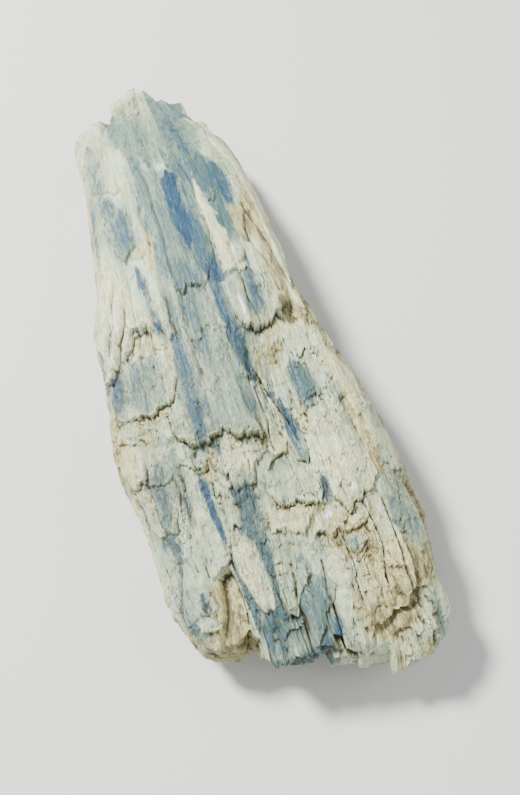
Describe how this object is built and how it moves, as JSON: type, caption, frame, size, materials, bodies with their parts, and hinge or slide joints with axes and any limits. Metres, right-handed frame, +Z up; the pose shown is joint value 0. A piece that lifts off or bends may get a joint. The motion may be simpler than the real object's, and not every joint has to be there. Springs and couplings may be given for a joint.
{
  "type": "kyanite blade cluster",
  "caption": "Elongated cluster of intergrown flat mineral blades with stepped, ragged breaks, a thick broken end and a thinner pointed end, lying on its flattest side.",
  "frame": {"origin": "centre of the bounding box in plan, at the level of the surface it rests on", "axes": "+Y along the blades from the thick broken end to the thin end, +Z up from the resting face, +X across the blades towards the sloping side"},
  "size_m": [0.0686, 0.1876, 0.0329],
  "materials": {
    "kyanite": "pale greenish-white to cream bladed mineral with blue-grey and cornflower-blue streaks along the blades, tan in the breaks, silky to pearly"
  },
  "bodies": {
    "root": {"kyanite_blades": "kyanite"}
  },
  "joints": []
}
